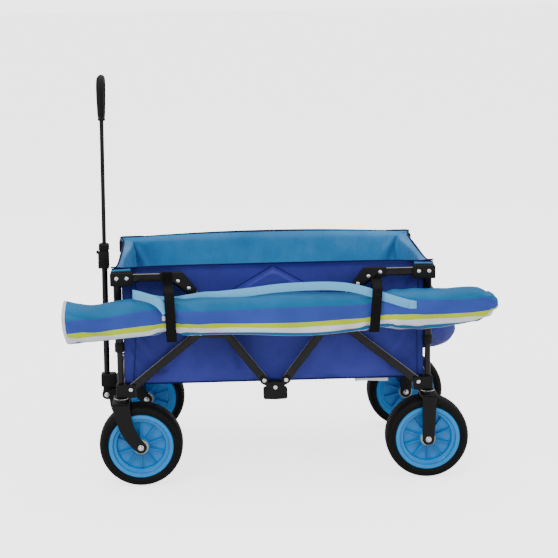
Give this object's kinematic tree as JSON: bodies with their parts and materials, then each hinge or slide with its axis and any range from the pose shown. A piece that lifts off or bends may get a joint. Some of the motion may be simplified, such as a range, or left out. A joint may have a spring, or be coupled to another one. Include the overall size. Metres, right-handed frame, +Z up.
{
  "type": "folding beach cart",
  "caption": "Folding beach cart: fabric tub on a scissor frame, swivel front wheels, telescopic pull handle and a parasol bag slung along one side.",
  "frame": {"origin": "on the ground under the middle of the overall box, with the slung parasol bag and its loops included", "axes": "+X to the rear, +Y to the cart's right side, +Z up; the pull handle is at -X"},
  "size_m": [1.093, 0.661, 1.0438],
  "materials": {
    "frame_black": "satin black powder coat",
    "plastic_black": "fine moulded grain",
    "steel": "zinc plated",
    "wheel_blue": "smooth moulded",
    "tyre_rubber": "matt, treaded",
    "tub_fabric": "coarse woven polyester, coated",
    "mat_fabric": "woven polyester",
    "stripe_fabric": "woven polyester in long stripes",
    "webbing": "flat woven webbing",
    "sling_webbing": "flat woven webbing"
  },
  "bodies": {
    "rear_base": {"rear_lower_frame": "frame_black", "rear_left_bracket": "plastic_black", "rear_left_fork": "plastic_black", "rear_left_axle": "steel", "rear_right_bracket": "plastic_black", "rear_right_fork": "plastic_black", "rear_right_axle": "steel"},
    "rear_lower_bars": {"rear_left_lower_bar": "frame_black", "rear_right_lower_bar": "frame_black"},
    "rear_upper_bars": {"rear_left_upper_bar": "frame_black", "rear_left_elbow": "plastic_black", "rear_right_upper_bar": "frame_black", "rear_right_elbow": "plastic_black"},
    "rear_top": {"rear_upper_frame": "frame_black", "rear_left_cap": "plastic_black", "rear_right_cap": "plastic_black", "fabric_tub": "tub_fabric", "base_mat": "mat_fabric", "rear_pocket": "tub_fabric"},
    "top_hubs": {"left_top_hub": "plastic_black", "right_top_hub": "plastic_black"},
    "bottom_hubs": {"left_bottom_hub": "plastic_black", "right_bottom_hub": "plastic_black"},
    "front_lower_bars": {"front_left_lower_bar": "frame_black", "front_right_lower_bar": "frame_black"},
    "front_upper_bars": {"front_left_upper_bar": "frame_black", "front_left_elbow": "plastic_black", "front_right_upper_bar": "frame_black", "front_right_elbow": "plastic_black"},
    "front_top": {"front_upper_frame": "frame_black", "front_left_cap": "plastic_black", "front_right_cap": "plastic_black"},
    "front_base": {"front_lower_frame": "frame_black", "front_left_bracket": "plastic_black", "front_right_bracket": "plastic_black", "handle_mount": "plastic_black"},
    "front_left_caster": {"front_left_fork": "plastic_black", "front_left_axle": "steel"},
    "front_right_caster": {"front_right_fork": "plastic_black", "front_right_axle": "steel"},
    "rear_left_wheel": {"rear_left_wheel_disc": "wheel_blue", "rear_left_tyre": "tyre_rubber"},
    "rear_right_wheel": {"rear_right_wheel_disc": "wheel_blue", "rear_right_tyre": "tyre_rubber"},
    "front_left_wheel": {"front_left_wheel_disc": "wheel_blue", "front_left_tyre": "tyre_rubber"},
    "front_right_wheel": {"front_right_wheel_disc": "wheel_blue", "front_right_tyre": "tyre_rubber"},
    "handle_base": {"handle_foot": "plastic_black", "handle_lower_tube": "frame_black", "handle_lock": "plastic_black"},
    "handle_top": {"handle_upper_tube": "frame_black", "handle_grip": "plastic_black"},
    "handle_release": {"handle_button": "plastic_black"},
    "rear_strap": {"rear_strap_loop": "webbing"},
    "front_strap": {"front_strap_loop": "webbing"},
    "parasol": {"parasol_bag": "stripe_fabric", "parasol_sling": "sling_webbing"}
  },
  "joints": [
    {"name": "fold", "type": "hinge", "parent": "rear_base", "child": "rear_lower_bars", "pos_m": [0.3545, 0.038, 0.256], "axis": [0, 1, 0], "range_deg": [0, 36], "deforming": ["fabric_tub", "base_mat"]},
    {"name": "rear_crossing", "type": "hinge", "parent": "rear_lower_bars", "child": "rear_upper_bars", "pos_m": [0.1718, 0.038, 0.4025], "axis": [0, 1, 0], "range_deg": [-72, 0]},
    {"name": "rear_rail", "type": "hinge", "parent": "rear_upper_bars", "child": "rear_top", "pos_m": [0.3545, 0.038, 0.549], "axis": [0, 1, 0], "range_deg": [0, 36]},
    {"name": "rear_top_pin", "type": "hinge", "parent": "rear_lower_bars", "child": "top_hubs", "pos_m": [0.0115, 0.038, 0.531], "axis": [0, 1, 0], "range_deg": [-36, 0]},
    {"name": "rear_bottom_pin", "type": "hinge", "parent": "rear_upper_bars", "child": "bottom_hubs", "pos_m": [0.0115, 0.038, 0.274], "axis": [0, 1, 0], "range_deg": [0, 36]},
    {"name": "front_top_pin", "type": "hinge", "parent": "top_hubs", "child": "front_lower_bars", "pos_m": [-0.0445, 0.038, 0.531], "axis": [0, 1, 0], "range_deg": [-36, 0]},
    {"name": "front_crossing", "type": "hinge", "parent": "front_lower_bars", "child": "front_upper_bars", "pos_m": [-0.2048, 0.038, 0.4025], "axis": [0, 1, 0], "range_deg": [0, 72]},
    {"name": "front_rail", "type": "hinge", "parent": "front_upper_bars", "child": "front_top", "pos_m": [-0.3875, 0.038, 0.549], "axis": [0, 1, 0], "range_deg": [-36, 0]},
    {"name": "front_bracket_pin", "type": "hinge", "parent": "front_lower_bars", "child": "front_base", "pos_m": [-0.3875, 0.038, 0.256], "axis": [0, 1, 0], "range_deg": [0, 36]},
    {"name": "rear_strap_hang", "type": "hinge", "parent": "rear_upper_bars", "child": "rear_strap", "pos_m": [0.2455, -0.219, 0.549], "axis": [0, 1, 0], "range_deg": [0, 36]},
    {"name": "front_strap_hang", "type": "hinge", "parent": "front_upper_bars", "child": "front_strap", "pos_m": [-0.2785, -0.219, 0.549], "axis": [0, 1, 0], "range_deg": [-36, 0]},
    {"name": "front_left_swivel", "type": "hinge", "parent": "front_base", "child": "front_left_caster", "pos_m": [-0.4135, -0.198, 0.108], "axis": [0, 0, 1], "continuous": true},
    {"name": "front_right_swivel", "type": "hinge", "parent": "front_base", "child": "front_right_caster", "pos_m": [-0.4135, 0.274, 0.108], "axis": [0, 0, 1], "continuous": true},
    {"name": "rear_left_wheel_spin", "type": "hinge", "parent": "rear_base", "child": "rear_left_wheel", "pos_m": [0.3775, -0.198, 0.108], "axis": [0, 1, 0], "continuous": true},
    {"name": "rear_right_wheel_spin", "type": "hinge", "parent": "rear_base", "child": "rear_right_wheel", "pos_m": [0.3775, 0.274, 0.108], "axis": [0, 1, 0], "continuous": true},
    {"name": "front_left_wheel_spin", "type": "hinge", "parent": "front_left_caster", "child": "front_left_wheel", "pos_m": [-0.3655, -0.198, 0.108], "axis": [0, 1, 0], "continuous": true},
    {"name": "front_right_wheel_spin", "type": "hinge", "parent": "front_right_caster", "child": "front_right_wheel", "pos_m": [-0.3655, 0.274, 0.108], "axis": [0, 1, 0], "continuous": true},
    {"name": "handle_tilt", "type": "hinge", "parent": "front_base", "child": "handle_base", "pos_m": [-0.464, 0.038, 0.182], "axis": [0, -1, 0], "range_deg": [0, 95]},
    {"name": "handle_telescope", "type": "slide", "parent": "handle_base", "child": "handle_top", "axis": [0.0157, 0, 0.9999], "range_m": [-0.32, 0]},
    {"name": "handle_release_press", "type": "slide", "parent": "handle_base", "child": "handle_release", "axis": [0.9999, 0, -0.0157], "range_m": [0, 0.003], "stiffness_N_per_m": 400},
    {"name": "parasol_slide", "type": "slide", "parent": "rear_strap", "child": "parasol", "axis": [1, 0, 0], "range_m": [0, 0.85]}
  ],
  "couplings": [
    {"joint": "rear_crossing", "follows": "fold", "ratio": -2},
    {"joint": "rear_rail", "follows": "fold", "ratio": 1},
    {"joint": "rear_top_pin", "follows": "fold", "ratio": -1},
    {"joint": "rear_bottom_pin", "follows": "fold", "ratio": 1},
    {"joint": "front_top_pin", "follows": "fold", "ratio": -1},
    {"joint": "front_crossing", "follows": "fold", "ratio": 2},
    {"joint": "front_rail", "follows": "fold", "ratio": -1},
    {"joint": "front_bracket_pin", "follows": "fold", "ratio": 1},
    {"joint": "rear_strap_hang", "follows": "fold", "ratio": 1},
    {"joint": "front_strap_hang", "follows": "fold", "ratio": -1}
  ]
}
